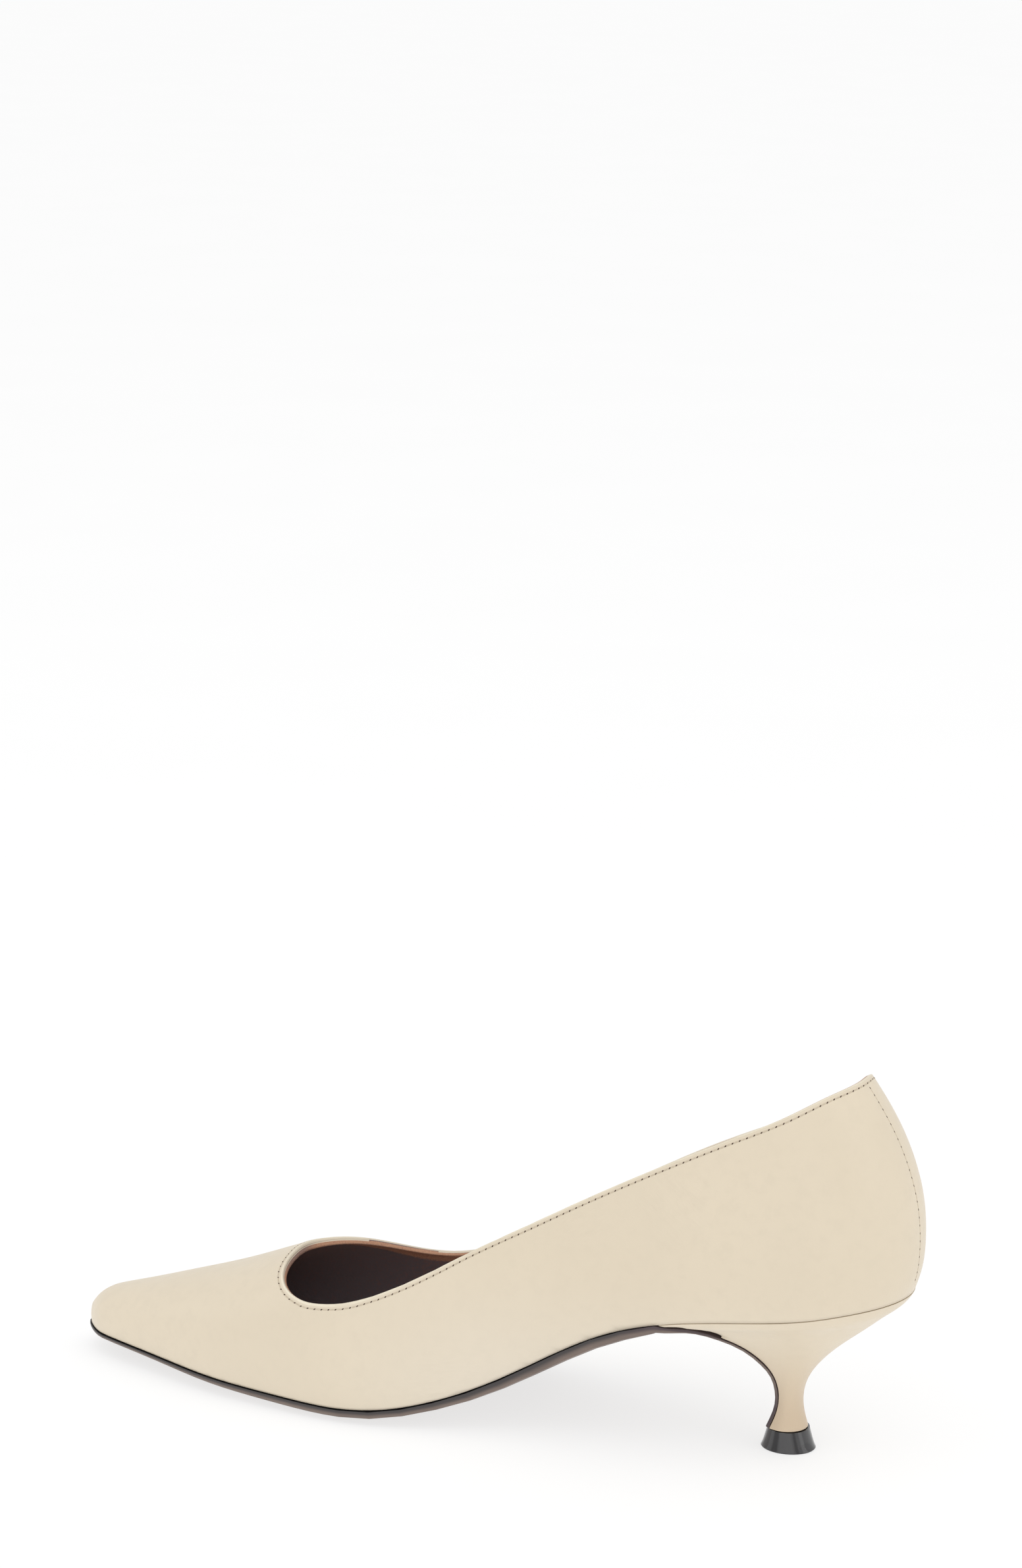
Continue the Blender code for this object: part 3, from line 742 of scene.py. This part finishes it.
for vertex in outsole.data.vertices:
    here = (vertex.co.x - soleLook["flapFrom"]) / soleLook["flapEase"]
    here = min(1.0, max(0.0, here))
    for (top, most), (low, least) in zip(levels, levels[1:]):
        if low * mm <= vertex.co.z <= top * mm and here:
            wider = least + (most - least) * (vertex.co.z / mm - low) / (top - low)
            aside = (vertex.co.y - soleLook["flapMiddle"]) / soleLook["flapCore"]
            vertex.co.y += here * wider * mm * min(1.0, max(-1.0, aside))
bevelled(outsole, soleLook["bevel"], 3, soleLook["bevelAngle"])
outsole.data.shade_smooth()
outsole.data.set_sharp_from_angle(angle=math.radians(soleLook["sharpAngle"]))
soleMaterial, tree, shader = newMaterial("sole_leather", soleLook["surface"])
facing = partsOf(tree, addNode(tree, "ShaderNodeNewGeometry").outputs["Normal"])["Z"]
streaks = ranged(tree, noise(tree, *soleLook["streaks"]), *soleLook["streakSpread"])
underColour = mixed(tree, streaks, soleLook["under"],
                    scaled(soleLook["under"], soleLook["streak"]))
# painted light: the sole's edge is darker and bluer towards the toe and a lighter brown towards the
# heel
paintedLightTowardsHeel = ranged(tree, partsOf(tree, objectPlace(tree))["X"], *soleLook["flapAlong"])
soleColour = mixed(tree, paintedLightTowardsHeel, soleLook["edge"], soleLook["flap"])
soleColour = mixed(tree, ranged(tree, facing, *soleLook["underFacing"], 1, 0), soleColour,
                   underColour)
upward = ranged(tree, facing, *soleLook["lineFacing"])
line = maths(tree, "SUBTRACT", upward, paintedLightTowardsHeel)
soleColour = mixed(tree, line, soleColour, soleLook["line"])
feed(tree, soleColour, shader.inputs["Base Color"])
uneven = bumped(tree, noise(tree, *soleLook["uneven"]), *soleLook["unevenBump"])
feed(tree, uneven, shader.inputs["Normal"])
outsole.data.materials.append(soleMaterial)
print("outsole done")


# Heel, covered in the upper's leather
heelLook = {
    "bevel": 0.35 * mm,
    "bevelAngle": 50,   # degrees
    "tanBelow": (0.008, 0.040),
}
heel = copyOf("heel", "heel_cover")
bevelled(heel, heelLook["bevel"], 2, heelLook["bevelAngle"])
addModifier(heel, "SUBSURF", levels=1, render_levels=1)
heel.data.shade_smooth()
heel.data.materials.append(leatherMaterial("heel_leather", [], heelLook["tanBelow"]))
print("heel done")


# Top piece, hard plastic
topLook = {
    "bevel": 0.3 * mm,
    "bevelAngle": 50,   # degrees
    "normalWeight": 80,
    "dark": (0.014, 0.013, 0.016),
    "light": (0.019, 0.018, 0.020),
    "surface": {"Roughness": 0.12, "Coat Weight": 1.0, "Coat Roughness": 0.05,
                "Specular IOR Level": 0.5},
    "cloud": (200, 3),   # scale and detail of a noise
    "cloudSpread": (0.3, 0.7),
    "flare": -0.22,   # the wall is shaded as if it leaned out a little more
    "uneven": (350, 2),
    "unevenBump": (0.03 * mm, 0.3),   # depth and strength
}
topPiece = copyOf("top_piece", "top_piece_plastic")
bevelled(topPiece, topLook["bevel"], 3, topLook["bevelAngle"])
topPiece.data.shade_smooth()
addModifier(topPiece, "WEIGHTED_NORMAL", keep_sharp=True, weight=topLook["normalWeight"])
plastic, tree, shader = newMaterial("top_piece_plastic", topLook["surface"])
cloud = ranged(tree, noise(tree, *topLook["cloud"]), *topLook["cloudSpread"])
feed(tree, mixed(tree, cloud, topLook["dark"], topLook["light"]), shader.inputs["Base Color"])
flare = maths(tree, "MULTIPLY", partsOf(tree, objectPlace(tree))["Z"], topLook["flare"])
flared = bumped(tree, flare, 1.0)
uneven = bumped(tree, noise(tree, *topLook["uneven"]), *topLook["unevenBump"], flared)
feed(tree, uneven, shader.inputs["Normal"])
topPiece.data.materials.append(plastic)
print("top piece done")


# Floor and light
studio = {
    "floorSize": 40,
    "floorDrop": 0.0001,
    "floorDark": (0.325, 0.325, 0.325),
    "floorLight": (0.33, 0.33, 0.33),
    "floorGlow": 0.70,   # evens out the shadow, as the photograph's white ground does
    "patches": (8, 2),   # scale and detail of a noise
    "patchSpread": (0.3, 0.7),
    "world": 0.82,
    "flags": ((-44, 24), (44, 14)),   # heading and width of two dark flags in the gloss, degrees
    "flagColour": (0.02, 0.02, 0.02),
    "flagSoft": 2,   # degrees
    "flagTop": (0.85, 0.95),   # upward part of the direction where they end
    "lights": (   # name, place, aim, size and power
        ("overhead", (0.1, -0.3, 1.6), (0, 0, 0.04), (1.6, 1.2), 4.1),
        ("low", (0.1, -1.9, 0.45), (0, 0, 0.04), (2.0, 0.7), 1.9),
        ("front", (-1.7, -0.6, 0.9), (0, 0, 0.04), (0.9, 0.9), 1.5),
        ("right", (1.5, -0.3, 0.6), (0, 0, 0.05), (0.5, 1.0), 1.6),
    ),
}
bpy.ops.mesh.primitive_plane_add(size=studio["floorSize"], location=(0, 0, -studio["floorDrop"]))
floor = bpy.context.object
floor.name = "floor"
floorMaterial, tree, shader = newMaterial("floor_paper", {
    "Roughness": 0.9, "Specular IOR Level": 0.0, "Emission Color": (1, 1, 1, 1),
    "Emission Strength": studio["floorGlow"]})
patches = ranged(tree, noise(tree, *studio["patches"]), *studio["patchSpread"])
feed(tree, mixed(tree, patches, studio["floorDark"], studio["floorLight"]),
     shader.inputs["Base Color"])
floor.data.materials.append(floorMaterial)

world = bpy.data.worlds.new("studio")
scene.world = world
world.use_nodes = True
sky = world.node_tree
background = sky.nodes["Background"]
background.inputs["Strength"].default_value = studio["world"]
east, north, up = partsOf(sky, addNode(sky, "ShaderNodeTexCoord").outputs["Generated"])
south = maths(sky, "MULTIPLY", north, -1.0)
heading = maths(sky, "DEGREES", maths(sky, "ARCTAN2", east, south))
flags = []
for middle, width in studio["flags"]:
    away = maths(sky, "ABSOLUTE", maths(sky, "SUBTRACT", heading, middle))
    flags.append(ranged(sky, away, width / 2 - studio["flagSoft"],
                        width / 2 + studio["flagSoft"], 1, 0))
bothFlags = maths(sky, "MAXIMUM", *flags)
bothFlags = maths(sky, "MULTIPLY", bothFlags, ranged(sky, up, *studio["flagTop"], 1, 0))
mirrored = addNode(sky, "ShaderNodeLightPath").outputs["Is Glossy Ray"]
dimmed = mixed(sky, maths(sky, "MULTIPLY", bothFlags, mirrored), (1, 1, 1), studio["flagColour"])
feed(sky, dimmed, background.inputs["Color"])


def softLight(name, place, aim, size, power):
    data = bpy.data.lights.new(name, "AREA")
    data.shape = "RECTANGLE"
    data.size, data.size_y = size
    data.energy = power
    light = bpy.data.objects.new(name, data)
    light.location = place
    light.rotation_mode = "QUATERNION"
    light.rotation_quaternion = (Vector(aim) - Vector(place)).to_track_quat("-Z", "Y")
    scene.collection.objects.link(light)


for row in studio["lights"]:
    softLight(*row)
print("floor and light done")
